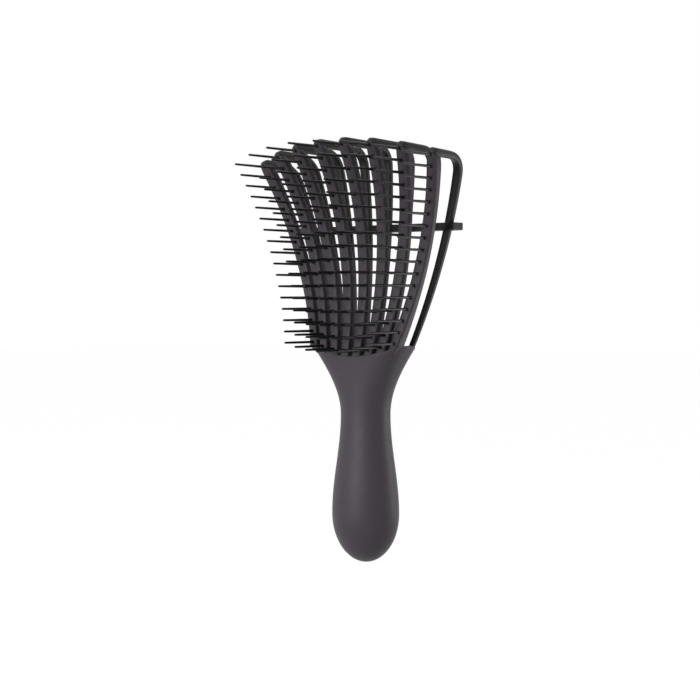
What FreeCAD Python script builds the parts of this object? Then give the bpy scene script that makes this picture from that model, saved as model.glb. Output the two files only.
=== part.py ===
"""A detangling hairbrush: a moulded handle that carries a fan of looped arms with rows of pins.

+Z runs up the handle to the head, the pins point to -Y, and the origin is on the handle's axis at the
middle of the grip.  An arm is flat.  It is drawn in its own Y-Z plane, with the foot of its lowest pin
at (0, 0), then leaned sideways about Y and set on the handle's rim.
"""
import math
import os

import FreeCAD
import Part

Vec = FreeCAD.Vector
ACROSS = Vec(1, 0, 0)
DEPTH = Vec(0, 1, 0)
UP = Vec(0, 0, 1)

# Driving dimensions, in millimetres and degrees.

# The fan of arms: what the middle arms have, and the two outermost ones.
ARM_COUNT = 8
ROOT_HEIGHT = 59.0          # grip centre to the lowest pin of the middle arms
ROOT_RISE = 4.0             # the outermost arms start this much higher
ROOT_FORWARD = 12.5         # limb faces lie this far in front of the handle's axis
ROOT_SETBACK = 1.9          # the outermost arms lie this much further back
SHOULDER_WIDTH = 57.0
ROOT_INSET = 1.7            # the shoulder's side to the lowest pin of an outermost arm
ROOT_HALF_SPAN = SHOULDER_WIDTH / 2 - ROOT_INSET
FAN_LEAN = 17.0             # sideways lean of an outermost arm
BACK_LEAN_MIDDLE = 12.2     # backward lean at the root
BACK_LEAN_OUTER = 15.3

# Pins.
PIN_COUNT = 17
PIN_PITCH_MIDDLE = 6.66
PIN_PITCH_OUTER = 6.12
PIN_LENGTH = 21.6
PIN_FOOT_RADIUS = 0.72
PIN_NECK_RADIUS = 0.48
PIN_END_RADIUS = 0.26
PIN_END_LENGTH = 0.5
PIN_SIDES = 8               # the slim pins are moulded with flats

# Front limbs.
LIMB_RADIUS = 144.0         # curve of the front face, hollow towards the pins
LIMB_WIDTH = 5.3
LIMB_DEPTH = 4.8            # at the top
LIMB_WAIST_DEPTH = 3.6      # half-way up, where the limb is springy
LIMB_ROOT_DEPTH = 6.5
LIMB_EDGE_BEVEL = 0.7
LIMB_TOP_MARGIN = 1.0       # top pin to the joint with the loop
PEG_RADIUS = 1.0
PEG_LENGTH = 3.0
PEG_CLEARANCE = 0.05

# Loops and back straps.
LOOP_THICKNESS = 2.7        # over the limb's front edge
LOOP_UNDERCUT = 1.7         # the joint falls this much towards the limb's back
LOOP_BAND = 3.6             # thickness of the loop behind the limb
LOOP_DROP = 1.2             # the loop's top falls this much towards the back
LOOP_BACK_ROUND = 10.5
STRAP_REACH_FOOT = 16.0     # limb face to the middle of the strap
REACH_HALF_WAY_MIDDLE = 19.8
REACH_HALF_WAY_OUTER = 16.4
REACH_TOP_MIDDLE = 33.5     # the middle arms are deeper, so that the straps stand in one row
REACH_TOP_OUTER = 22.4
STRAP_THICKNESS_TOP = 2.6
STRAP_THICKNESS_FOOT = 1.9
STRAP_WIDTH_TOP = 4.4
STRAP_WIDTH_FOOT = 2.7

# The root hinge, where an arm flexes sideways.
KNUCKLE_WIDTH = 3.6
KNUCKLE_DEPTH = 3.6
KNUCKLE_SETBACK = 2.2       # limb face to the knuckle's front, at the rim
HINGE_DROP = 5.0            # lowest pin to the hinge axis
SWING = 2.0                 # each way
RUN_CLEARANCE = 0.35

# Handle.
GRIP_TO_END = 50.0
END_HEIGHT = 25.0           # rounded end, below the widest part
GRIP_WIDTH = 37.1
GRIP_DEPTH = 30.4
NECK_HEIGHT = 26.4
NECK_WIDTH = 27.5
NECK_DEPTH = 22.5
SHOULDER_DEPTH = 26.4
SHOULDER_FRONT_POWER = 3.6  # squareness of the shoulder's section: 2 is an ellipse
SHOULDER_BACK_POWER = 2.3
SHOULDER_FULLNESS = 0.4
RIM_DROP = 2.5              # lowest pin to the rim
RIM_RADIUS = 90.0           # the rim dips in the middle
RIM_EDGE_BEVEL = 0.8
SOCKET_WALL = 0.9           # round the outermost arms' sockets, which reach past the shoulder's corners

# Spacer bar, threaded on the straps.
BAR_RISE = 62.3             # lowest middle pin to the middle of the bar
BAR_HEIGHT = 3.8
BAR_WALL = 1.2
BAR_PLAY = 0.3
BAR_END_WALL = 1.2
BAR_EDGE_RADIUS = 0.9

FULL = 400.0                # longer than any piece, for cutting tools
SECTION_POINTS = 12
END_STATIONS = (0.003, 0.05, 0.25, 0.6)
GRIP_STATIONS = (0.0, 0.33, 0.67)
FLARE_STATIONS = (0.0, 0.33, 0.67, 1.0, 1.25)


# Small geometry helpers.

def turned_circle(first, middle, last):
    """The circle through three (y, z) points, as its centre and radius."""
    circle = arc(first, middle, last).Curve
    return circle.Center.y, circle.Center.z, circle.Radius


def prism(edges, width):
    """A flat outline in the Y-Z plane, given a width across X about its middle."""
    face = Part.Face(Part.Wire(edges))
    solid = face.extrude(ACROSS * width)
    solid.translate(ACROSS * (-width / 2))
    return solid


def line(start, end):
    return Part.LineSegment(Vec(0, *start), Vec(0, *end)).toShape()


def arc(start, middle, end):
    return Part.Arc(Vec(0, *start), Vec(0, *middle), Vec(0, *end)).toShape()


def corner(start, point, toward):
    """The round bend at a corner point, from start to as far along the line towards the next point.

    Returns the arc's middle and its end.  The bend touches both lines, because its ends lie equally
    far from the corner.
    """
    arm_in = Vec(0, *start) - Vec(0, *point)
    arm_out = Vec(0, *toward) - Vec(0, *point)
    half_angle = arm_in.getAngle(arm_out) / 2
    end = Vec(0, *point) + arm_out.normalize() * arm_in.Length
    radius = arm_in.Length * math.tan(half_angle)
    inward = ((Vec(0, *start) + end) * 0.5 - Vec(0, *point)).normalize()
    middle = Vec(0, *point) + inward * (radius / math.sin(half_angle) - radius)
    return (middle.y, middle.z), (end.y, end.z)


def box(low, high):
    size = [b - a for a, b in zip(low, high)]
    return Part.makeBox(*size, Vec(*low))


def rod_along_depth(radius, height, low, high):
    """A round rod along Y, at the given height in the arm's middle plane."""
    return Part.makeCylinder(radius, high - low, Vec(0, low, height), DEPTH)


# One arm's own sizes and curves.

class Arm:
    """The place, lean and side outline of one arm, counted from 0 at -X."""

    def __init__(self, index):
        middle = (ARM_COUNT - 1) / 2
        side = (index - middle) / middle
        spread = side * side
        self.name = str(index + 1)
        self.lean = FAN_LEAN * side
        self.place = Vec(
            ROOT_HALF_SPAN * side,
            ROOT_SETBACK * spread - ROOT_FORWARD,
            ROOT_HEIGHT + ROOT_RISE * spread,
        )
        self.back_lean = math.radians(
            BACK_LEAN_MIDDLE + (BACK_LEAN_OUTER - BACK_LEAN_MIDDLE) * spread)
        self.pitch = PIN_PITCH_MIDDLE + (PIN_PITCH_OUTER - PIN_PITCH_MIDDLE) * spread
        self.deepening = (1 - spread) ** 2
        self.pins = [self.on_face(self.pitch * k) for k in range(PIN_COUNT)]
        self.joint_height = self.pins[-1][1] + LIMB_TOP_MARGIN
        self.loop_height = self.joint_height + LOOP_THICKNESS
        self.strap_top = self.loop_height - LOOP_DROP - LOOP_BACK_ROUND
        self.foot = -HINGE_DROP - STRAP_WIDTH_FOOT / 2

    def on_face(self, length):
        """The point (y, z) on the limb's front face at a length along its curve from the lowest pin."""
        angle = self.back_lean - length / LIMB_RADIUS
        y = LIMB_RADIUS * (math.cos(angle) - math.cos(self.back_lean))
        z = LIMB_RADIUS * (math.sin(self.back_lean) - math.sin(angle))
        return y, z

    def face_at(self, height):
        """How far back the limb's front face lies at a height, straight below the lowest pin."""
        if height < 0:
            return height * math.tan(self.back_lean)
        angle = math.asin(math.sin(self.back_lean) - height / LIMB_RADIUS)
        return LIMB_RADIUS * (math.cos(angle) - math.cos(self.back_lean))

    def joint(self):
        """Front and back corner of the slanting joint between limb and loop."""
        low = self.joint_height - LOOP_UNDERCUT
        return (self.face_at(self.joint_height), self.joint_height), (self.face_at(low) + LIMB_DEPTH, low)

    def strap_points(self, side):
        """Foot, middle and top of the strap's front (-1), middle (0) or back (1) line."""
        middle = (self.foot + self.strap_top) / 2
        heights = (self.foot, middle, self.strap_top)
        half_way = REACH_HALF_WAY_OUTER + (REACH_HALF_WAY_MIDDLE - REACH_HALF_WAY_OUTER) * self.deepening
        top = REACH_TOP_OUTER + (REACH_TOP_MIDDLE - REACH_TOP_OUTER) * self.deepening
        reaches = (STRAP_REACH_FOOT, half_way, top)
        mean_thickness = (STRAP_THICKNESS_FOOT + STRAP_THICKNESS_TOP) / 2
        thicknesses = (STRAP_THICKNESS_FOOT, mean_thickness, STRAP_THICKNESS_TOP)
        return [
            (self.face_at(h) + reach + side * thickness / 2, h)
            for h, reach, thickness in zip(heights, reaches, thicknesses)
        ]

    def strap_at(self, height):
        """How far back the strap's middle line lies at a height."""
        centre_y, centre_z, radius = turned_circle(*self.strap_points(0))
        half = math.sqrt(radius ** 2 - (height - centre_z) ** 2)
        behind = self.strap_points(0)[1][0] > centre_y
        return centre_y + half if behind else centre_y - half

    def strap_width_at(self, height):
        share = (height - self.foot) / (self.loop_height - self.foot)
        return STRAP_WIDTH_FOOT + (STRAP_WIDTH_TOP - STRAP_WIDTH_FOOT) * share

    def local_height(self, height):
        """A height over the grip, measured along this arm from its lowest pin."""
        return (height - self.place.z) / math.cos(math.radians(self.lean))

    def at_height(self, height):
        """Sideways place of the arm's middle plane at a height over the grip."""
        return self.place.x + (height - self.place.z) * math.tan(math.radians(self.lean))

    def put(self, shape):
        """A shape from the arm's own plane, leaned and set on the rim."""
        shape.rotate(Vec(0, 0, 0), DEPTH, self.lean)
        shape.translate(self.place)
        return shape

    def fetch(self, shape):
        """A shape from the handle's frame, moved to where the arm's own plane has it."""
        shape.translate(-self.place)
        shape.rotate(Vec(0, 0, 0), DEPTH, -self.lean)
        return shape


def rounded_foot(shape, width):
    """Round the lower end of a shape about the hinge axis, so that it can swing in its seat."""
    low = -HINGE_DROP - FULL
    waste = box((-FULL, -FULL, low), (FULL, FULL, -HINGE_DROP))
    return shape.cut(waste.cut(rod_along_depth(width / 2, -HINGE_DROP, -FULL, FULL)))


def make_limb(arm):
    """The grey front limb: a curved bar, slim half-way up, with a rounded knuckle under its root."""
    joint_front, joint_back = arm.joint()
    middle = arm.joint_height / 2
    front = (0, 0)
    front_low = (arm.face_at(-HINGE_DROP), -HINGE_DROP)
    back = (LIMB_ROOT_DEPTH, 0)
    back_low = (front_low[0] + LIMB_ROOT_DEPTH, -HINGE_DROP)
    edges = [
        line(front_low, front),
        arc(front, (arm.face_at(middle), middle), joint_front),
        line(joint_front, joint_back),
        arc(joint_back, (arm.face_at(middle) + LIMB_WAIST_DEPTH, middle), back),
        line(back, back_low),
        line(back_low, front_low),
    ]
    bar = prism(edges, LIMB_WIDTH)
    long_edges = [e for e in bar.Edges if isinstance(e.Curve, Part.Circle)]
    bar = bar.makeChamfer(LIMB_EDGE_BEVEL, long_edges)
    bar = bar.common(arm.fetch(above_rim(RUN_CLEARANCE)))
    return bar.fuse(make_knuckle(arm)).cut(peg(arm, PEG_CLEARANCE))


def knuckle_span(arm):
    """Front and back of the knuckle."""
    front = arm.face_at(-RIM_DROP) + KNUCKLE_SETBACK
    return front, front + KNUCKLE_DEPTH


def make_knuckle(arm):
    """The narrow rounded foot of a limb, which turns in its socket in the rim."""
    front, back = knuckle_span(arm)
    half = KNUCKLE_WIDTH / 2
    return rounded_foot(box((-half, front, -HINGE_DROP - half), (half, back, 0)), KNUCKLE_WIDTH)


def peg(arm, clearance):
    """The loop's locating peg, which runs down inside the limb's top end, or its hole."""
    front, back = arm.joint()
    seat = Vec(0, (front[0] + back[0]) / 2, (front[1] + back[1]) / 2)
    down = Vec(0, arm.face_at(back[1] - PEG_LENGTH) - arm.face_at(back[1]), -PEG_LENGTH).normalize()
    radius = PEG_RADIUS + clearance
    return Part.makeCylinder(radius, radius + PEG_LENGTH + clearance, seat - down * radius, down)


def make_strap(arm):
    """The black loop over the limb's top and the thin strap that runs down behind it to the handle."""
    top = arm.loop_height
    front, under = arm.joint()
    front_corner = (front[0], top)
    outer = arm.strap_points(1)
    inner = arm.strap_points(-1)
    outer_corner = heading(outer, top - LOOP_DROP)
    inner_corner = heading(inner, top - LOOP_DROP - LOOP_BAND)
    front_bend, front_end = corner(front, front_corner, outer_corner)
    outer_bend, outer_end = corner(outer[2], outer_corner, front_end)
    inner_bend, inner_end = corner(inner[2], inner_corner, under)
    edges = [
        arc(front, front_bend, front_end),
        line(front_end, outer_end),
        arc(outer_end, outer_bend, outer[2]),
        arc(outer[2], outer[1], outer[0]),
        line(outer[0], inner[0]),
        arc(inner[0], inner[1], inner[2]),
        arc(inner[2], inner_bend, inner_end),
        line(inner_end, under),
        line(under, front),
    ]
    loop = prism(edges, STRAP_WIDTH_TOP)
    loop = loop.common(taper(arm))
    loop = rounded_foot(loop, STRAP_WIDTH_FOOT)
    return loop.fuse(peg(arm, 0)).removeSplitter()


def heading(points, height):
    """Where the strap's line would reach a height if it ran straight on from its top."""
    centre_y, centre_z, _ = turned_circle(*points)
    y, z = points[2]
    run = -(z - centre_z) / (y - centre_y)
    return y + run * (height - z), height


def taper(arm):
    """A wedge as wide as the strap at its foot and at its top."""
    corners = []
    for height in (arm.foot, arm.loop_height):
        half = arm.strap_width_at(height) / 2
        corners += [Vec(-half, -FULL, height), Vec(half, -FULL, height)]
    loop = [corners[0], corners[1], corners[3], corners[2], corners[0]]
    return Part.Face(Part.makePolygon(loop)).extrude(DEPTH * 2 * FULL)


def make_pins(arm):
    """The row of tapered pins with blunt ends, all parallel, each bedded on the limb's curved face."""
    pins = []
    for k, (y, z) in enumerate(arm.pins):
        slope = math.tan(arm.back_lean - arm.pitch * k / LIMB_RADIUS)
        pin = make_pin(slope)
        pin.translate(Vec(0, y, z))
        pins.append(pin)
    return Part.makeCompound(pins)


def make_pin(slope):
    """One pin along -Y, with flat sides between its bed, its neck and its end.

    The limb's face rises by its slope under the pin.  The bed is cut to that slope and lies on the
    hollow face by its upper and lower edges.
    """
    shaft = PIN_LENGTH - PIN_END_LENGTH
    draft = (PIN_FOOT_RADIUS - PIN_NECK_RADIUS) / shaft
    hollow = PIN_FOOT_RADIUS ** 2 / LIMB_RADIUS
    turn = 2 * math.pi / PIN_SIDES
    fullness = 1 / math.sqrt(math.cos(turn / 2))
    bed, neck, end = [], [], []
    for k in range(PIN_SIDES):
        across = fullness * math.cos(turn * (k + 0.5))
        rise = fullness * math.sin(turn * (k + 0.5))
        foot = PIN_FOOT_RADIUS / (1 - draft * slope * rise)
        bed.append(Vec(foot * across, foot * rise * slope - hollow, foot * rise))
        neck.append(Vec(PIN_NECK_RADIUS * across, -shaft, PIN_NECK_RADIUS * rise))
        end.append(Vec(PIN_END_RADIUS * across, -PIN_LENGTH, PIN_END_RADIUS * rise))
    faces = [flat(bed), flat(end)]
    for ring, next_ring in ((bed, neck), (neck, end)):
        for k in range(PIN_SIDES):
            faces.append(flat([ring[k - 1], ring[k], next_ring[k], next_ring[k - 1]]))
    return Part.Solid(Part.Shell(faces))


def flat(points):
    """The flat face round a loop of points."""
    return Part.Face(Part.makePolygon(points + points[:1]))


# Handle.

def section(width, depth, front_power, back_power, height):
    """A closed smooth outline, each half between an ellipse and a rounded rectangle, level at a height."""
    points = []
    for k in range(SECTION_POINTS):
        angle = 2 * math.pi * k / SECTION_POINTS
        power = back_power if math.sin(angle) > 0 else front_power
        across = math.copysign(abs(math.cos(angle)) ** (2 / power), math.cos(angle))
        deep = math.copysign(abs(math.sin(angle)) ** (2 / power), math.sin(angle))
        points.append(Vec(across * width / 2, deep * depth / 2, height))
    curve = Part.BSplineCurve()
    curve.interpolate(points, PeriodicFlag=True)
    return Part.Wire(curve.toShape())


def handle_sections():
    """The handle's outlines from its rounded end, over the grip and the neck, out to the shoulder."""
    wires = []
    widest = END_HEIGHT - GRIP_TO_END
    for share in END_STATIONS:
        size = math.sqrt(1 - (1 - share) ** 2)
        wires.append(section(GRIP_WIDTH * size, GRIP_DEPTH * size, 2, 2, END_HEIGHT * share - GRIP_TO_END))
    for share in GRIP_STATIONS:
        ease = (1 + math.cos(math.pi * share)) / 2
        width = NECK_WIDTH + (GRIP_WIDTH - NECK_WIDTH) * ease
        depth = NECK_DEPTH + (GRIP_DEPTH - NECK_DEPTH) * ease
        wires.append(section(width, depth, 2, 2, widest + (NECK_HEIGHT - widest) * share))
    shoulder = ROOT_HEIGHT
    for share in FLARE_STATIONS:
        ease = share ** 2 * (1 + SHOULDER_FULLNESS * (1 - share))
        width = NECK_WIDTH + (SHOULDER_WIDTH - NECK_WIDTH) * ease
        depth = NECK_DEPTH + (SHOULDER_DEPTH - NECK_DEPTH) * ease
        front_power = 2 + (SHOULDER_FRONT_POWER - 2) * min(ease, 1)
        back_power = 2 + (SHOULDER_BACK_POWER - 2) * min(ease, 1)
        height = NECK_HEIGHT + (shoulder - NECK_HEIGHT) * share
        wires.append(section(width, depth, front_power, back_power, height))
    return wires


def above_rim(gap):
    """The space that begins a gap above the rim: a wide roller that lies across the handle."""
    centre = ROOT_HEIGHT - RIM_DROP + RIM_RADIUS
    return Part.makeCylinder(RIM_RADIUS - gap, 2 * FULL, Vec(0, -FULL, centre), DEPTH)


def feet(arm):
    """Width, front and back of the arm's two feet in the rim: the knuckle and the strap's end."""
    strap_front = arm.strap_points(-1)[0][0]
    strap_back = arm.strap_at(0) + STRAP_THICKNESS_TOP / 2
    return (KNUCKLE_WIDTH, *knuckle_span(arm)), (STRAP_WIDTH_FOOT, strap_front, strap_back)


def around_foot(arm, foot, margin):
    """An upright block with a round lower end, larger than a foot by a margin on every side."""
    width, front, back = foot
    half = width / 2 + margin
    block = box((-half, front - margin, -HINGE_DROP), (half, back + margin, ROOT_HEIGHT))
    return arm.put(block.fuse(rod_along_depth(half, -HINGE_DROP, front - margin, back + margin)))


def make_handle(arms):
    """The solid moulded handle, with a socket in its rim for each knuckle and each strap."""
    body = Part.makeLoft(handle_sections(), True)
    body = body.cut(above_rim(0))
    rim = [e for e in body.Edges if e.BoundBox.ZMin > NECK_HEIGHT and e.Length > SHOULDER_WIDTH]
    body = body.makeChamfer(RIM_EDGE_BEVEL, rim)
    bosses = []
    for arm in (arms[0], arms[-1]):
        for foot in feet(arm):
            boss = around_foot(arm, foot, RUN_CLEARANCE + SOCKET_WALL)
            bosses.append(boss.cut(above_rim(0)))
    sockets = []
    for arm in arms:
        sockets += [around_foot(arm, foot, RUN_CLEARANCE) for foot in feet(arm)]
    return body.fuse(bosses).cut(sockets)


# Spacer bar.

def make_bar(arms):
    """The straight bar across the back of the fan, with a window for each strap."""
    height = ROOT_HEIGHT + BAR_RISE
    spots = []
    for arm in arms:
        depth = arm.place.y + arm.strap_at(arm.local_height(height))
        spots.append(Vec(arm.at_height(height), depth, height))
    swing = (BAR_RISE + HINGE_DROP) * math.sin(math.radians(SWING))
    lean = BAR_HEIGHT / 2 * math.tan(math.radians(FAN_LEAN))
    pitch_lean = BAR_HEIGHT / 2 * math.tan(math.radians(BACK_LEAN_OUTER))
    half_width = STRAP_WIDTH_TOP / 2 + swing + lean + BAR_PLAY
    half_depth = STRAP_THICKNESS_TOP / 2 + pitch_lean + BAR_PLAY
    front = min(spot.y for spot in spots) - half_depth - BAR_WALL
    back = max(spot.y for spot in spots) + half_depth + BAR_WALL
    end = spots[-1].x + half_width + BAR_END_WALL
    bar = box((-end, front, height - BAR_HEIGHT / 2), (end, back, height + BAR_HEIGHT / 2))
    bar = bar.makeFillet(BAR_EDGE_RADIUS, [e for e in bar.Edges if e.Length < back - front])
    window = box((-half_width, -half_depth, -BAR_HEIGHT), (half_width, half_depth, BAR_HEIGHT))
    return bar.cut([window.translated(spot) for spot in spots])


def main():
    os.makedirs("parts", exist_ok=True)
    arms = [Arm(index) for index in range(ARM_COUNT)]
    pieces = {
        "handle": make_handle(arms),
        "spacer_bar": make_bar(arms),
    }
    for arm in arms:
        pieces["arm_limb_" + arm.name] = arm.put(make_limb(arm))
        pieces["strap_loop_" + arm.name] = arm.put(make_strap(arm))
        pieces["pin_row_" + arm.name] = arm.put(make_pins(arm))
    for name, shape in pieces.items():
        shape.exportStep("parts/" + name + ".step")
        print(name, len(shape.Solids), "solids, volume", round(shape.Volume, 1), "valid", shape.isValid())


main()
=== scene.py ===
# %% [markdown]
# # A detangling hairbrush
#
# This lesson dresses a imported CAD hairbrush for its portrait. The brush is a moulded grey handle that opens
# into a wide shoulder, a fan of eight looped arms that grow out of that shoulder, seventeen slim pins on each
# arm, and a bar that keeps the arms apart at the back. The CAD model gives the sizes and the joints. Blender
# gives soft moulded edges, a little more flesh on limbs and straps, round pins and plastic that looks like
# plastic.
#
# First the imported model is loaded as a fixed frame. Its box is kept, because nothing may grow out of it.

# %% Load the frame
from types import SimpleNamespace

import bpy
import numpy as np
from mathutils import Matrix, Vector


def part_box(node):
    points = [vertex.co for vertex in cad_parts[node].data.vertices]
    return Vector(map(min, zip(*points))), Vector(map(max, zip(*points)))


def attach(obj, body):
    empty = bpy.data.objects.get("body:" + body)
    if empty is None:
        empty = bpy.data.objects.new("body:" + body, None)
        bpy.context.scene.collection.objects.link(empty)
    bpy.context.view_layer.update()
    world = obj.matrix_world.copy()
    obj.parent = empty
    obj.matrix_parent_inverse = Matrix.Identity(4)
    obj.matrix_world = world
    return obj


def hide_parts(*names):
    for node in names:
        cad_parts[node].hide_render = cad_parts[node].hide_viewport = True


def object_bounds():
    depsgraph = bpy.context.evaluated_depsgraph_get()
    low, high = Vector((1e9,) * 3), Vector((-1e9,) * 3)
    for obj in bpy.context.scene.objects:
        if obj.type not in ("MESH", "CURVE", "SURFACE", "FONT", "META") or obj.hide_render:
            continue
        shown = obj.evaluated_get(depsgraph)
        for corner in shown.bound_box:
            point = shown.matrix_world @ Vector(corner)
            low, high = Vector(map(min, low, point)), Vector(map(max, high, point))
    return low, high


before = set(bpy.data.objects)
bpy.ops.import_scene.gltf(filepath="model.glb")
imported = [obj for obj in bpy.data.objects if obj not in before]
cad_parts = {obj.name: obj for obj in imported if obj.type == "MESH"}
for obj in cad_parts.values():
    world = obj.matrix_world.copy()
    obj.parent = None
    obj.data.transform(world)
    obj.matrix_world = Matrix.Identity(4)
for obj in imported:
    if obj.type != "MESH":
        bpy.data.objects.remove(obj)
cad_box = [list(corner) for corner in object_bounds()]
scene = bpy.context.scene
scene.view_settings.view_transform = "Standard"
MM = 0.001

# %% [markdown]
# ## The camera
#
# A portrait of a small product is taken from some way off with a longish lens, so that near and far arms keep
# almost the same size. The camera stands to the right of the pins' own direction and looks slightly down.

# %% Camera
BRUSH_MIDDLE = np.array([0.0, -12.5, 59.0])
DISTANCE = 799.0
azimuth, elevation = np.radians(40.1), np.radians(1.8)
level = np.cos(elevation)
backward = np.array([np.sin(azimuth) * level, -np.cos(azimuth) * level, np.sin(elevation)])
rightward = np.array([np.cos(azimuth), np.sin(azimuth), 0.0])
upward = np.cross(backward, rightward)
aim = BRUSH_MIDDLE + 0.04 * rightward + 0.4 * upward

camera = bpy.data.objects.new("portrait_camera", bpy.data.cameras.new("portrait_camera"))
camera.data.lens = 81.05
camera.data.sensor_width = 36.0
turn = np.column_stack([rightward, upward, backward])
stand = Matrix.Translation(Vector((aim + DISTANCE * backward) * MM))
camera.matrix_world = stand @ Matrix(turn.tolist()).to_4x4()
scene.collection.objects.link(camera)
scene.camera = camera
print("camera at", [round(v, 3) for v in camera.location], "lens", camera.data.lens)

# %% [markdown]
# ## Two helpers for materials
#
# Colours are given as sRGB hex values, but the shader works with linear light, so one function turns the one
# into the other. A node graph is much easier to read when each node is one line, so a second function adds a
# node, fills its inputs and links it.

# %% Colour and node helpers
def linear(hex_colour):
    """sRGB hex to linear RGBA: a channel up to 0.04045 is divided by 12.92, and a lighter one is
    ((c + 0.055) / 1.055) to the power 2.4."""
    srgb = np.array([int(hex_colour[i:i + 2], 16) / 255 for i in (1, 3, 5)])
    light = np.where(srgb <= 0.04045, srgb / 12.92, ((srgb + 0.055) / 1.055) ** 2.4)
    return (*light.tolist(), 1.0)


def add(tree, kind, inputs=None, **settings):
    """Add a node.  settings are its properties, and inputs holds values or other nodes' sockets."""
    node = tree.nodes.new(kind)
    for name, value in settings.items():
        setattr(node, name, value)
    for name, value in (inputs or {}).items():
        if isinstance(value, bpy.types.NodeSocket):
            tree.links.new(value, node.inputs[name])
        else:
            node.inputs[name].default_value = value
    return node


print("grey in linear light", [round(v, 3) for v in linear("#4a464a")[:3]])

# %% [markdown]
# ## The light
#
# The studio is a white room: a pale floor, a white world and two soft boxes. The large box at the front left
# makes the broad sheen down the handle, and a small one close by on the right draws a light edge on the grip
# and the outermost arm. Stronger lamps could make the background white too, but they would bleach the
# plastic. So the background is white only for the camera and for reflections, and the light on the object
# stays at a plain level.

# %% Floor, world and soft boxes
def seen_or_mirrored(tree):
    """1 for rays from the camera, from a reflection or through glass, and 0 for rays that only carry light."""
    path = add(tree, "ShaderNodeLightPath")
    seen = add(tree, "ShaderNodeMath", {0: path.outputs["Is Camera Ray"], 1: path.outputs["Is Glossy Ray"]},
               operation="MAXIMUM")
    seen = add(tree, "ShaderNodeMath", {0: seen.outputs[0], 1: path.outputs["Is Transmission Ray"]},
               operation="MAXIMUM")
    return seen.outputs[0]


world = bpy.data.worlds.new("white_room")
scene.world = world
world.use_nodes = True
world.node_tree.nodes.clear()
seen = seen_or_mirrored(world.node_tree)
strength = add(world.node_tree, "ShaderNodeMapRange", {"Value": seen, "To Min": 0.25, "To Max": 1.0})
glow = add(world.node_tree, "ShaderNodeBackground", {"Color": (1, 1, 1, 1), "Strength": strength.outputs[0]})
add(world.node_tree, "ShaderNodeOutputWorld", {"Surface": glow.outputs[0]})

floor_level = cad_box[0][2] - 0.0002
half_floor = 3.0
corners = [(-1, -1), (1, -1), (1, 1), (-1, 1)]
floor_mesh = bpy.data.meshes.new("studio_floor")
floor_mesh.from_pydata([(half_floor * x, half_floor * y, floor_level) for x, y in corners], [], [(0, 1, 2, 3)])
floor = bpy.data.objects.new("studio_floor", floor_mesh)
scene.collection.objects.link(floor)
paper = bpy.data.materials.new("white_paper")
paper.use_nodes = True
paper.node_tree.nodes.clear()
seen = seen_or_mirrored(paper.node_tree)
matt = add(paper.node_tree, "ShaderNodeBsdfDiffuse", {"Color": (0.8, 0.8, 0.8, 1)})
bright = add(paper.node_tree, "ShaderNodeEmission", {"Color": (1, 1, 1, 1), "Strength": 1.08})
share = add(paper.node_tree, "ShaderNodeMath", {0: seen, 1: 0.9}, operation="MULTIPLY")
sheet = add(paper.node_tree, "ShaderNodeMixShader",
            {0: share.outputs[0], 1: matt.outputs[0], 2: bright.outputs[0]})
add(paper.node_tree, "ShaderNodeOutputMaterial", {"Surface": sheet.outputs[0]})
floor_mesh.materials.append(paper)


def soft_box(name, place, size, power):
    """A rectangular lamp that faces the brush.  Its place is given in metres from the brush's middle: to the
    right as the camera sees it, towards the camera, and up."""
    lamp = bpy.data.lights.new(name, "AREA")
    lamp.shape = "RECTANGLE"
    lamp.size, lamp.size_y = size
    lamp.energy = power
    box = bpy.data.objects.new(name, lamp)
    middle = BRUSH_MIDDLE * MM
    at = middle + place[0] * rightward + place[1] * backward + place[2] * np.array([0, 0, 1])
    box.location = at
    box.rotation_euler = Vector(middle - at).to_track_quat("-Z", "Y").to_euler()
    scene.collection.objects.link(box)


soft_box("key_box", place=(-0.8, 0.6, 0.1), size=(0.5, 0.8), power=8.0)
soft_box("edge_strip", place=(0.24, -0.02, -0.05), size=(0.08, 0.16), power=0.19)
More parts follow.
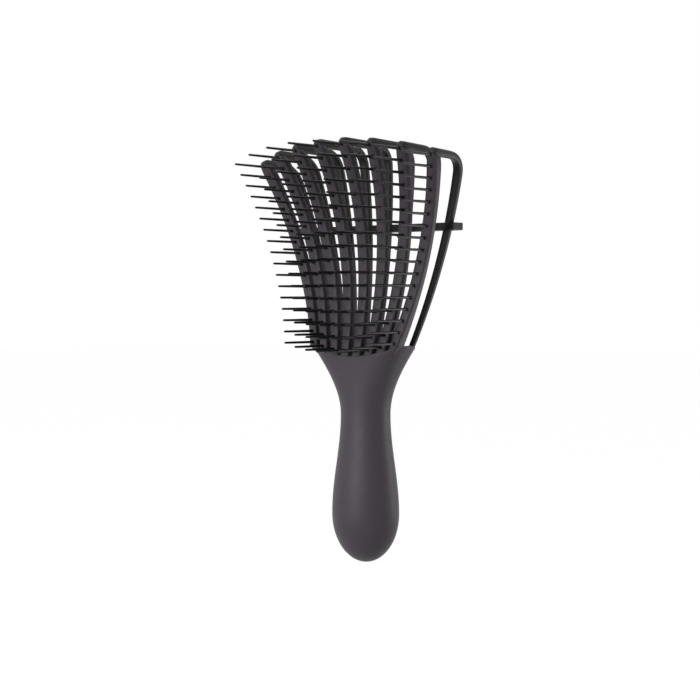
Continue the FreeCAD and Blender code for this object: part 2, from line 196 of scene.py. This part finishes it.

# %% [markdown]
# ## Plastics
#
# The handle and the limbs are the same ABS, moulded in a tool with a fine spark-eroded texture. That gives a
# satin grey with a soft wide sheen and no clear reflection. The limbs' copy of that grey is painted a shade
# darker, as painted shade for the fan, where they stand in shade. The straps and the bar are nylon, darker and a
# little waxier. The pins are the same nylon, polished where they leave the tool. One plain colour would look
# like paint, so all four share a graph of slow colour drift, fine grain in the bump and a roughness that varies
# a little. Real grain of this kind is under 0.1 mm, and it is drawn several times coarser so that it shows.

# %% Plastic materials
def plastic(name, colour, drift_colour, roughness, grain_mm, grain_depth, specular):
    """Moulded plastic: two close colours mixed by slow noise of 14 mm, grain of the given size in the bump,
    and a roughness that swings 0.06 either way over 5 mm."""
    material = bpy.data.materials.new(name)
    material.use_nodes = True
    tree = material.node_tree
    tree.nodes.clear()
    where = add(tree, "ShaderNodeTexCoord").outputs["Object"]
    drift = add(tree, "ShaderNodeTexNoise", {"Vector": where, "Scale": 1 / (14 * MM), "Detail": 2.0})
    colour_mix = add(tree, "ShaderNodeMix", {"Factor": drift.outputs["Fac"], "A": linear(colour),
                                             "B": linear(drift_colour)}, data_type="RGBA")
    patches = add(tree, "ShaderNodeTexNoise", {"Vector": where, "Scale": 1 / (5 * MM), "Detail": 3.0})
    rough = add(tree, "ShaderNodeMapRange", {"Value": patches.outputs["Fac"], "To Min": roughness - 0.06,
                                             "To Max": roughness + 0.06})
    grain = add(tree, "ShaderNodeTexNoise", {"Vector": where, "Scale": 1 / (grain_mm * MM), "Detail": 2.0})
    bump = add(tree, "ShaderNodeBump", {"Height": grain.outputs["Fac"], "Strength": 0.25,
                                        "Distance": grain_depth * MM})
    skin_shader = add(tree, "ShaderNodeBsdfPrincipled", {
        "Base Color": colour_mix.outputs["Result"], "Roughness": rough.outputs["Result"],
        "Normal": bump.outputs["Normal"], "IOR": 1.52, "Specular IOR Level": specular})
    add(tree, "ShaderNodeOutputMaterial", {"Surface": skin_shader.outputs["BSDF"]})
    return material


# Satin ABS: the light spreads into one broad soft band, and the grain breaks up its edge.
satin = {"roughness": 0.5, "grain_mm": 0.45, "grain_depth": 0.05, "specular": 0.3}
grey_abs = plastic("grey_satin_abs", "#423b43", "#3f3940", **satin)
# The limbs: the same satin ABS, with its colour darkened as painted shade.
limb_abs_painted_shade = plastic("grey_satin_abs_painted_shade", "#39333a", "#363037", **satin)
# Satin nylon: nearly black, with a narrower, waxy sheen.
black_nylon = plastic("black_satin_nylon", "#1d1d1b", "#1a1a18", roughness=0.45, grain_mm=0.45,
                      grain_depth=0.04, specular=0.3)
# Polished nylon: a thin bright line along each pin.
pin_nylon = plastic("black_polished_nylon", "#181719", "#1b1a1d", roughness=0.32, grain_mm=0.6,
                    grain_depth=0.02, specular=0.35)
print("materials", [m.name for m in (grey_abs, limb_abs_painted_shade, black_nylon, pin_nylon)])

# %% [markdown]
# ## From arrays to pieces
#
# Almost every piece here is a stack of rings: a closed outline carried along a path. Blender's curves can carry
# an outline too, but only one of a fixed shape. Arrays let every ring have its own size, tilt and corner. One
# function turns any such array into a mesh, joins ring to ring, closes both ends with a fan, and makes sure
# that the faces point outwards by measuring the signed volume.

# %% Rings to mesh
def signed_volume(points, triangles):
    """Sum over triangles of the triple product of the corners, divided by 6: positive if they face outwards."""
    a, b, c = (points[triangles[:, k]] for k in range(3))
    return np.einsum("ij,ij->", a, np.cross(b, c)) / 6


def piece_from_rings(name, rings, material, body, replaced):
    """A piece from an array (tubes, rings, points, 3) in millimetres.  Neighbouring rings are joined by
    quads, and the first and last ring are closed by fans round their mean points."""
    tubes, tall, around, _ = rings.shape
    walls = np.arange(tubes * tall * around).reshape(tubes, tall, around)
    nexts = np.roll(walls, -1, axis=2)
    quads = np.stack([walls[:, :-1], nexts[:, :-1], nexts[:, 1:], walls[:, 1:]], axis=-1).reshape(-1, 4)
    hubs = walls.size + np.arange(2 * tubes).reshape(2, tubes, 1)
    ends = [(hubs[0], nexts[:, 0], walls[:, 0]), (hubs[1], walls[:, -1], nexts[:, -1])]
    fans = np.concatenate([np.stack(np.broadcast_arrays(*end), axis=-1).reshape(-1, 3) for end in ends])
    centres = np.concatenate([rings[:, 0].mean(axis=1), rings[:, -1].mean(axis=1)])
    points = np.concatenate([rings.reshape(-1, 3), centres]) * MM
    triangles = np.concatenate([quads[:, :3], quads[:, [0, 2, 3]], fans])
    if signed_volume(points, triangles) < 0:
        quads, fans = quads[:, ::-1], fans[:, ::-1]
    return piece(name, points, quads.tolist() + fans.tolist(), material, body, replaced)


def piece(name, points, faces, material, body, replaced):
    """A smooth mesh object that rides on a body and stands for a CAD node."""
    mesh = bpy.data.meshes.new(name)
    mesh.from_pydata(points.tolist(), [], faces)
    mesh.materials.append(material)
    mesh.shade_smooth()
    made = bpy.data.objects.new(name, mesh)
    scene.collection.objects.link(made)
    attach(made, body)
    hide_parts(replaced)
    return made


def rounded_outline(half_width, half_depth, power, count):
    """A rounded rectangle in the unit directions: cos and sin, each with its sign and raised to 2 / power,
    times the half sizes.  Power 2 is an ellipse, and a higher one is squarer.  The half sizes may be columns."""
    angle = np.linspace(0, 2 * np.pi, count, endpoint=False)
    across = np.sign(np.cos(angle)) * np.abs(np.cos(angle)) ** (2 / power)
    deep = np.sign(np.sin(angle)) * np.abs(np.sin(angle)) ** (2 / power)
    return half_width * across, half_depth * deep


print("ring helpers ready")

# %% [markdown]
# ## One arm's plan
#
# Each of the eight arms is a flat loop, leaned sideways and set on the rim. One arm could be modelled and
# copied, but the arms' lengths, bows and leans all change across the fan, so a function of the arm's number
# gives each its own plan. An arm is drawn in its own plane, with the foot of its lowest pin at the origin: y to
# the back, z up. The front face is an arc that is hollow towards the pins. The numbers are the CAD model's, but
# the limbs and straps are about a millimetre fuller.

# %% Arm plan
FACE_RADIUS = 144.0
FAN_LEAN, HALF_SPAN = 17.0, 26.8
LIMB_WIDTH, LIMB_DEPTH, LIMB_WAIST, LIMB_ROOT_DEPTH = 5.3, 5.8, 4.0, 6.5
LOOP_THICKNESS, LOOP_SAG, LOOP_BAND, LOOP_UNDERCUT = 2.7, 1.2, 3.6, 1.7
BEND_DROP, STRAP_FOOT = 10.5, -6.35
RIM_RADIUS, RIM_CENTRE = 90.0, 146.5
PINS = 17


def arm_plan(number):
    """Place, leans and heights of arm 1 to 8.  side runs from -1 to 1, and most sizes change with its square."""
    side = (number - 4.5) / 3.5
    plan = SimpleNamespace(number=number, side=side, lean=np.radians(FAN_LEAN * side))
    plan.place = BRUSH_MIDDLE + np.array([HALF_SPAN * side, 1.9 * side ** 2, 4.0 * side ** 2])
    plan.back_lean = np.radians(12.2 + 3.1 * side ** 2)
    plan.pitch = 6.66 - 0.54 * side ** 2
    plan.joint = face_point(plan, (PINS - 1) * plan.pitch)[1] + 1.0
    plan.top = plan.joint + LOOP_THICKNESS
    plan.strap_top = plan.top - LOOP_SAG - BEND_DROP
    plan.foot = STRAP_FOOT
    plan.rim, plan.rim_slope = rim_under(plan)
    plan.front = np.array([face_depth(plan, plan.joint), plan.joint])
    under = plan.joint - LOOP_UNDERCUT
    plan.under = np.array([face_depth(plan, under) + LIMB_DEPTH, under])
    return plan


def rim_under(plan):
    """Height and slope of the rim under the arm's axis, in the arm's plane.  The rim is a circle about a point
    high over the grip, so the height solves |place + height * axis - centre| = radius."""
    axis = np.array([np.sin(plan.lean), np.cos(plan.lean)])
    offset = plan.place[[0, 2]] - [0.0, RIM_CENTRE]
    along = offset @ axis
    height = -along - np.sqrt(along ** 2 - offset @ offset + RIM_RADIUS ** 2)
    across = (plan.place[[0, 2]] + height * axis)[0]
    return height, np.tan(np.arcsin(across / RIM_RADIUS) + plan.lean)


def face_point(plan, length):
    """(y, z) on the front face at a length along its arc: the angle falls by length / radius from the back
    lean, y is radius times the gain of its cosine and z is radius times the loss of its sine."""
    angle = plan.back_lean - length / FACE_RADIUS
    return (FACE_RADIUS * (np.cos(angle) - np.cos(plan.back_lean)),
            FACE_RADIUS * (np.sin(plan.back_lean) - np.sin(angle)))


def face_depth(plan, height):
    """y of the front face at a height: the arc above the lowest pin, and its straight tangent below."""
    angle = np.arcsin(np.sin(plan.back_lean) - np.maximum(height, 0) / FACE_RADIUS)
    arc = FACE_RADIUS * (np.cos(angle) - np.cos(plan.back_lean))
    return np.where(height < 0, height * np.tan(plan.back_lean), arc)


def set_on_rim(plan, points):
    """Lean points of the arm's plane sideways about y, then move them to the arm's place: x becomes
    x cos + z sin, and z becomes z cos - x sin."""
    x, y, z = np.moveaxis(points, -1, 0)
    leaned = np.stack([x * np.cos(plan.lean) + z * np.sin(plan.lean), y,
                       z * np.cos(plan.lean) - x * np.sin(plan.lean)], axis=-1)
    return leaned + plan.place


def circle_through(points):
    """Centre and radius of the circle through three (y, z) points: y, z and c solve
    2 y py + 2 z pz + c = py squared + pz squared for each point."""
    rows = np.array([[2 * y, 2 * z, 1] for y, z in points])
    centre_y, centre_z, rest = np.linalg.solve(rows, [y * y + z * z for y, z in points])
    return centre_y, centre_z, np.sqrt(rest + centre_y ** 2 + centre_z ** 2)


def along_circle(points, heights):
    """y on the circle through three points at some heights, on the side where the middle point lies."""
    centre_y, centre_z, radius = circle_through(points)
    reach = np.sqrt(radius ** 2 - (heights - centre_z) ** 2)
    return centre_y + np.where(points[1][0] > centre_y, reach, -reach)


arms = [arm_plan(number) for number in range(1, 9)]
print("arm tops", [round(float(arm.top), 1) for arm in arms])

# %% [markdown]
# ## Limbs
#
# A limb is the grey bar that carries the pins. It is a rounded rectangle carried up the curved face, wider in
# the middle than at its ends. A bevelled curve would keep one section all the way, so each ring is worked out
# from the limb's front and back curves instead. At its root the limb widens towards the next one, so that the
# gaps between the arms end in small round notches, as in a moulding.

# %% Limbs
ROOT_LENGTH = 12.0


def limb_rings(plan):
    """Rounded outlines from inside the shoulder up to the slanting joint.  Each spans from the front face to the
    back, which is an arc through root, waist and joint.  The half width gains 0.6 mm over the first 40 mm and
    loses it again, as a square root, over the last 5 mm.  Near the rim a ring tilts with it and is wider by a
    quarter round of 1 mm; below the rim the rings shrink and bend inwards, so that the root fades away."""
    low = plan.rim - ROOT_LENGTH
    share = np.concatenate([np.linspace(0, 0.18, 37)[:-1], np.linspace(0.18, 1, 50)])
    front_z = low + (plan.joint - low) * share
    back_z = low + (plan.under[1] - low) * share
    waist = plan.joint / 2
    back_arc = np.array([plan.under, [face_depth(plan, waist) + LIMB_WAIST, waist], [LIMB_ROOT_DEPTH, 0]])
    front_y = face_depth(plan, np.maximum(front_z, -1.5))
    back_y = np.where(back_z < 0, LIMB_ROOT_DEPTH, along_circle(back_arc, np.maximum(back_z, 0)))
    sunk = np.clip((plan.rim - front_z) / ROOT_LENGTH, 0, 1)
    shrink = 1 - 0.7 * sunk
    off_rim = np.clip(np.abs(front_z - plan.rim), 0, 1)
    fuller = 0.6 * np.clip(front_z / 40, 0, 1) * np.sqrt(np.clip((plan.joint - front_z) / 5, 0, 1))
    half_width = (LIMB_WIDTH / 2 + fuller + 1 - np.sqrt(1 - (1 - off_rim) ** 2)) * shrink
    middle_y = (front_y + back_y) / 2 + 3.0 * sunk ** 1.3
    across, deep = rounded_outline(half_width[:, None], np.ones((len(share), 1)), 4.5, 28)
    tilt = plan.rim_slope * np.clip(1 - (front_z - plan.rim) / 9, 0, 1) ** 2
    y = middle_y[:, None] + ((back_y - front_y) / 2 * shrink)[:, None] * deep
    z = ((front_z + back_z) / 2)[:, None] + ((back_z - front_z) / 2)[:, None] * deep + tilt[:, None] * across
    x = across - 6.5 * plan.side * (sunk ** 1.3)[:, None]
    return set_on_rim(plan, np.stack([x, y, z], axis=-1))


for arm in arms:
    limb = piece_from_rings(f"limb_{arm.number}", limb_rings(arm)[None], limb_abs_painted_shade, f"arm_{arm.number}",
                            f"arm_limb_{arm.number}")
print("limb faces", len(limb.data.polygons))

# %% [markdown]
# ## Loops and straps
#
# The strap leaves the limb's top, turns over in a round loop and runs down behind it to the shoulder. It is
# thin front to back and narrows to its foot. A tapered curve could follow it, but the loop is thicker than the
# strap, and its inner and outer corners have their own radii. So the outline is given by two curves, the outer
# and the inner one, and each ring spans from one to the other.

# %% Straps
REACH_OUTER, REACH_MIDDLE = np.array([16.0, 16.4, 22.4]), np.array([16.0, 19.8, 33.5])
HALF_OUTWARD, HALF_INWARD = np.array([0.95, 1.12, 1.3]), np.array([0.95, 1.5, 1.9])
FOOT_WIDTH, TOP_WIDTH = 3.0, 5.1


def strap_line(plan, offset):
    """Three points (y, z) from foot to top, on the outer face for offset 1, the inner one for -1 and the line
    between for 0.  The reach behind the front face goes from the outermost arm's to the middle arms' by
    (1 - side squared) squared."""
    heights = np.array([plan.foot, (plan.foot + plan.strap_top) / 2, plan.strap_top])
    half = HALF_OUTWARD if offset > 0 else HALF_INWARD
    mix = (1 - plan.side ** 2) ** 2
    reaches = REACH_OUTER + (REACH_MIDDLE - REACH_OUTER) * mix + offset * half
    return np.stack([face_depth(plan, heights) + reaches, heights], axis=-1)


def bend(start, corner, toward, count):
    """A round bend from start about a corner, ending as far along the line towards the next point.  It is the
    arc that touches both lines: its centre is on the line that halves the corner, and the radius turns
    evenly from start to end."""
    start, corner, toward = (np.asarray(p, float) for p in (start, corner, toward))
    reach = np.linalg.norm(start - corner)
    end = corner + (toward - corner) / np.linalg.norm(toward - corner) * reach
    half = np.arccos(np.dot(start - corner, end - corner) / reach ** 2) / 2
    inward = (start + end) / 2 - corner
    centre = corner + inward / np.linalg.norm(inward) * reach / np.cos(half)
    first, last = start - centre, end - centre
    swing = np.arccos(np.dot(first, last) / np.dot(first, first))
    share = np.linspace(0, 1, count)[:, None]
    return centre + (np.sin((1 - share) * swing) * first + np.sin(share * swing) * last) / np.sin(swing)


def heading(points, height):
    """Where the strap's line would reach a height if it ran straight on from its top, square to the radius
    there."""
    centre_y, centre_z, _ = circle_through(points)
    y, z = points[2]
    return np.array([y - (z - centre_z) / (y - centre_y) * (height - z), height])


def strap_rings(plan):
    """Rings from the limb's top, over the loop and down to the foot.  Each spans from the inner to the outer
    curve, and the width falls evenly with the height.  Inside the shoulder the foot shrinks and bends
    inwards."""
    front, under = plan.front, plan.under
    outer, inner = strap_line(plan, 1), strap_line(plan, -1)
    outer_corner = heading(outer, plan.top - LOOP_SAG)
    inner_corner = heading(inner, plan.top - LOOP_SAG - LOOP_BAND)
    front_bend = bend(front, [front[0], plan.top], outer_corner, 9)
    outer_bend = bend(outer[2], outer_corner, front_bend[-1], 15)[::-1]
    inner_bend = bend(inner[2], inner_corner, under, 15)[::-1]
    share = np.linspace(0, 1, 9)[1:-1, None]
    outer_run = front_bend[-1] + (outer_bend[0] - front_bend[-1]) * share
    inner_run = under + (inner_bend[0] - under) * np.linspace(0, 1, 17)[:-1, None]
    heights = np.linspace(plan.strap_top, plan.foot, 46)[1:]
    outer_strap = np.stack([along_circle(outer, heights), heights], axis=-1)
    inner_strap = np.stack([along_circle(inner, heights), heights], axis=-1)
    out = np.concatenate([front_bend, outer_run, outer_bend, outer_strap])
    within = np.concatenate([inner_run, inner_bend, inner_strap])
    middle, half = (out + within) / 2, (out - within) / 2
    height = np.clip((middle[:, 1:] - plan.foot) / (plan.top - plan.foot), 0, 1)
    width = FOOT_WIDTH + (TOP_WIDTH - FOOT_WIDTH) * height
    sunk = np.clip((plan.rim - middle[:, 1:]) / (plan.rim - plan.foot), 0, 1)
    shrink = 1 - 0.6 * sunk
    across, deep = rounded_outline(width / 2 * shrink, shrink, 4.0, 20)
    x = across - 2.2 * plan.side * sunk
    y = middle[:, :1] + half[:, :1] * deep - 0.8 * sunk
    z = middle[:, 1:] + half[:, 1:] * deep
    return set_on_rim(plan, np.stack([x, y, z], axis=-1))


for arm in arms:
    strap = piece_from_rings(f"strap_{arm.number}", strap_rings(arm)[None], black_nylon, f"arm_{arm.number}",
                             f"strap_loop_{arm.number}")
print("strap faces", len(strap.data.polygons))

# %% [markdown]
# ## Pins
#
# Each limb carries seventeen pins, all parallel, slightly tapered, with a rounded end and a small fillet at the
# foot. They could be copies of one pin, but a row moves with its arm as one piece, so one array holds a whole
# row. There are 136 pins in all, so each has only a few dozen faces.

# %% Pins
PIN_LENGTH, PIN_SIDES = 21.6, 8
pin_profile = np.array([[0.6, 1.0], [0.0, 0.85], [-0.8, 0.74], [0.7 - PIN_LENGTH, 0.58],
                        [0.25 - PIN_LENGTH, 0.45], [-PIN_LENGTH, 0.2]])


def pin_rings(plan):
    """Rings of eight points round each pin's axis: radius and reach from the profile, foot on the face."""
    foot_y, foot_z = face_point(plan, plan.pitch * np.arange(PINS))
    angle = np.linspace(0, 2 * np.pi, PIN_SIDES, endpoint=False)
    reach, radius = pin_profile[:, 0, None], pin_profile[:, 1, None]
    shape = (PINS, len(pin_profile), PIN_SIDES)
    x = np.broadcast_to(radius * np.cos(angle), shape)
    y = np.broadcast_to(foot_y[:, None, None] + reach, shape)
    z = np.broadcast_to(foot_z[:, None, None] + radius * np.sin(angle), shape)
    return set_on_rim(plan, np.stack([x, y, z], axis=-1))


for arm in arms:
    pins = piece_from_rings(f"pins_{arm.number}", pin_rings(arm), pin_nylon, f"arm_{arm.number}",
                            f"pin_row_{arm.number}")
print("faces in a row of pins", len(pins.data.polygons))

# %% [markdown]
# ## Handle
#
# The handle is one smooth body: a rounded end, a full grip, a slim neck and a wide shoulder. It could be shaped
# by hand from a subdivided block, but stacked outlines keep the measured widths. They go from an ellipse to a
# rounded rectangle. The rim dips in the middle, and the last rings run inwards over it to close the top.

# %% Handle
END_LEVEL, GRIP_LEVEL, NECK_LEVEL, SHOULDER_LEVEL = -49.9, -25.0, 26.4, 59.0
GRIP_WIDTH, NECK_WIDTH, SHOULDER_WIDTH = 37.1, 27.5, 57.0
GRIP_DEPTH, NECK_DEPTH, SHOULDER_DEPTH = 30.4, 22.5, 26.4
EDGE_ROUND = 0.8
AROUND = 96


def smooth_step(share):
    """0 to 1 with level ends: (1 - cos(pi share)) / 2."""
    return (1 - np.cos(np.pi * share)) / 2


def rim_height(across):
    """The rim's height over the grip: the lower side of the rim's circle."""
    return RIM_CENTRE - np.sqrt(RIM_RADIUS ** 2 - across ** 2)


def shoulder_outline(height, angle):
    """x and y of the flared part.  The share of the way from neck to shoulder, squared and a little fuller,
    mixes their sizes.  The front half grows squarer than the back half."""
    share = (height - NECK_LEVEL) / (SHOULDER_LEVEL - NECK_LEVEL)
    ease = share ** 2 * (1 + 0.4 * (1 - share))
    power = 2 + np.where(np.sin(angle) > 0, 0.3, 1.6) * np.clip(ease, 0, 1)
    width = NECK_WIDTH + (SHOULDER_WIDTH - NECK_WIDTH) * ease
    depth = NECK_DEPTH + (SHOULDER_DEPTH - NECK_DEPTH) * ease
    return rounded_outline(width / 2, depth / 2, power, AROUND)


def handle_rings():
    """Stacked outlines.  End: half an ellipse.  Grip to neck: a cosine ease.  Neck to rim: the flare, up to the
    rim's own height at each point, a small quarter round, then outlines that shrink over the dipped rim."""
    angle = np.linspace(0, 2 * np.pi, AROUND, endpoint=False)
    end = 1 - np.cos(np.linspace(0.02, 1, 24) * np.pi / 2)
    share = np.linspace(0, 1, 40)[1:]
    size = np.concatenate([np.sqrt(1 - (1 - end) ** 2), np.ones(39)])[:, None]
    ease = np.concatenate([np.zeros(24), smooth_step(share)])[:, None]
    z = np.concatenate([END_LEVEL + (GRIP_LEVEL - END_LEVEL) * end,
                        GRIP_LEVEL + (NECK_LEVEL - GRIP_LEVEL) * share])[:, None]
    half_width = (GRIP_WIDTH + (NECK_WIDTH - GRIP_WIDTH) * ease) / 2 * size
    half_depth = (GRIP_DEPTH + (NECK_DEPTH - GRIP_DEPTH) * ease) / 2 * size
    grip = np.stack(np.broadcast_arrays(half_width * np.cos(angle), half_depth * np.sin(angle), z), axis=-1)
    top = np.full(AROUND, SHOULDER_LEVEL)
    for _ in range(4):
        top = rim_height(shoulder_outline(top, angle)[0])
    z = NECK_LEVEL + (top - EDGE_ROUND - NECK_LEVEL) * np.linspace(0, 1, 44)[1:, None]
    flare = np.stack([*shoulder_outline(z, angle), z], axis=-1)
    bend_angle = np.linspace(0, np.pi / 2, 7)[1:, None, None]
    inset = EDGE_ROUND * (1 - np.cos(bend_angle)) / np.linalg.norm(flare[-1, :, :2], axis=-1, keepdims=True)
    edge = flare[-1] * np.concatenate([1 - inset, 1 - inset, np.ones_like(inset)], axis=-1)
    edge[..., 2] += EDGE_ROUND * np.sin(bend_angle[..., 0])
    lid = edge[-1] * np.linspace(0.96, 0.05, 14)[:, None, None]
    lid[..., 2] = rim_height(lid[..., 0])
    return np.concatenate([grip, flare, edge, lid])


handle = piece_from_rings("moulded_handle", handle_rings()[None], grey_abs, "handle_body", "handle")
print("handle faces", len(handle.data.polygons))

# %% [markdown]
# ## Socket lips
#
# The feet of the two outermost straps stand so far out that the shoulder bulges round them. On the real brush
# this is a smooth swelling of the moulding, made in the same shot. It could be worked into the handle's own
# outlines, but then all of them would need many more points. A short post is simpler: its lower end bends into
# the corner of the shoulder and is lost there.

# %% Socket lips
LIP_LENGTH = 13.0


def lip_rings(plan):
    """Rounded outlines from inside the shoulder up to the rim.  The size grows evenly, the lower rings bend
    inwards, and the last rings tilt with the rim and close with a small round."""
    strap_y = strap_line(plan, 0)[0][0]
    share = np.linspace(0, 1, 24)
    size = 0.3 + 0.7 * share
    size[-3:] *= [0.98, 0.93, 0.82]
    height = plan.rim - LIP_LENGTH * (1 - share)
    across, deep = rounded_outline(2.45 * size[:, None], 2.9 * size[:, None], 2.6, 24)
    z = height[:, None] + plan.rim_slope * share[:, None] ** 3 * across
    x = across - 7.5 * plan.side * ((1 - share) ** 1.3)[:, None]
    y = strap_y + 0.2 + deep - 2.5 * (1 - share)[:, None]
    return set_on_rim(plan, np.stack([x, y, z], axis=-1))


for arm in (arms[0], arms[-1]):
    lip = piece_from_rings(f"socket_lip_{arm.number}", lip_rings(arm)[None], grey_abs, "handle_body", "handle")
print("lip faces", len(lip.data.polygons))

# %% [markdown]
# ## Spacer bar
#
# The straps are threaded through one flat bar, like the rungs of a ladder through its rail. It is moulded in
# nylon, with a window for each strap. The windows could be cut out with a Boolean modifier, but a grid gives
# cleaner faces for the bevel. In plan the bar has lines across and along: the middle strip of every second cell
# is left open, and a wall is put wherever a filled cell borders on an open one.

# %% Spacer bar
BAR_WALL, BAR_EDGE = 1.2, 0.45


def strap_spot(plan, height):
    """x and y of a strap's middle line at a height over the grip: the way along the leaning arm is the height
    over its place, divided by the cosine of the lean."""
    along = (height - plan.place[2]) / np.cos(plan.lean)
    return plan.place[0] + along * np.sin(plan.lean), plan.place[1] + along_circle(strap_line(plan, 0), along)


def bar_grid():
    """Points (2 levels, 18 lines across, 4 lines along) and which cells (17, 3) are filled.  Lines across stand
    half a window to each side of every strap, and the two inner lines along half a window before and behind
    it.  Half a window is what the bar's own box leaves beside the outermost strap, less one wall."""
    low, high = (np.array(corner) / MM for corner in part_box("spacer_bar"))
    spots = np.array([strap_spot(arm, (low[2] + high[2]) / 2) for arm in arms])
    half_width = high[0] - spots[-1, 0] - BAR_WALL
    half_depth = high[1] - spots[:, 1].max() - BAR_WALL
    sides = np.stack([spots[:, 0] - half_width, spots[:, 0] + half_width], axis=1).reshape(-1)
    x = np.concatenate([[low[0]], sides, [high[0]]])
    middle = np.repeat(spots[:, 1], 2)[np.clip(np.arange(18) - 1, 0, 15)]
    front, back = np.full(18, low[1]), np.full(18, high[1])
    lines = np.stack([front, middle - half_depth, middle + half_depth, back], axis=1)
    levels = [np.stack([*np.broadcast_arrays(x[:, None], lines), np.full((18, 4), z)], axis=-1)
              for z in (low[2], high[2])]
    filled = np.ones((17, 3), bool)
    filled[1::2, 1] = False
    return np.stack(levels), filled


def ladder_faces(filled):
    """Quads of a flat grid with thickness: top and bottom of the filled cells, and a wall on every side where a
    filled cell borders on an open one or on nothing."""
    rows, columns = filled.shape
    index = np.arange(2 * (rows + 1) * (columns + 1)).reshape(2, rows + 1, columns + 1)
    low = index[0]
    corners = [low[:-1, :-1], low[:-1, 1:], low[1:, 1:], low[1:, :-1]]
    top = [level + index[1, 0, 0] for level in corners]
    padded = np.pad(filled, 1)
    faces = [np.stack(corners, axis=-1)[filled], np.stack(top[::-1], axis=-1)[filled]]
    sides = [(0, 1, padded[:-2, 1:-1]), (1, 2, padded[1:-1, 2:]),
             (2, 3, padded[2:, 1:-1]), (3, 0, padded[1:-1, :-2])]
    for a, b, neighbour in sides:
        wall = np.stack([corners[b], corners[a], top[a], top[b]], axis=-1)
        faces.append(wall[filled & ~neighbour])
    return np.concatenate(faces)


bar_points, bar_filled = bar_grid()
bar = piece("spacer_bar_skin", bar_points.reshape(-1, 3) * MM, ladder_faces(bar_filled).tolist(), black_nylon,
            "handle_body", "spacer_bar")
bar.data.shade_flat()
soft = bar.modifiers.new("soft_edges", "BEVEL")
soft.width, soft.segments, soft.limit_method = BAR_EDGE * MM, 2, "ANGLE"
print("bar faces", len(bar.data.polygons))

# %% [markdown]
#
# The dressed brush has to stay inside the CAD model's box, because others plan with that box. The CAD model's
# box is printed here in millimetres.

# %% Finish
print("cad box in mm", np.round(np.array(cad_box) / MM, 2).tolist())
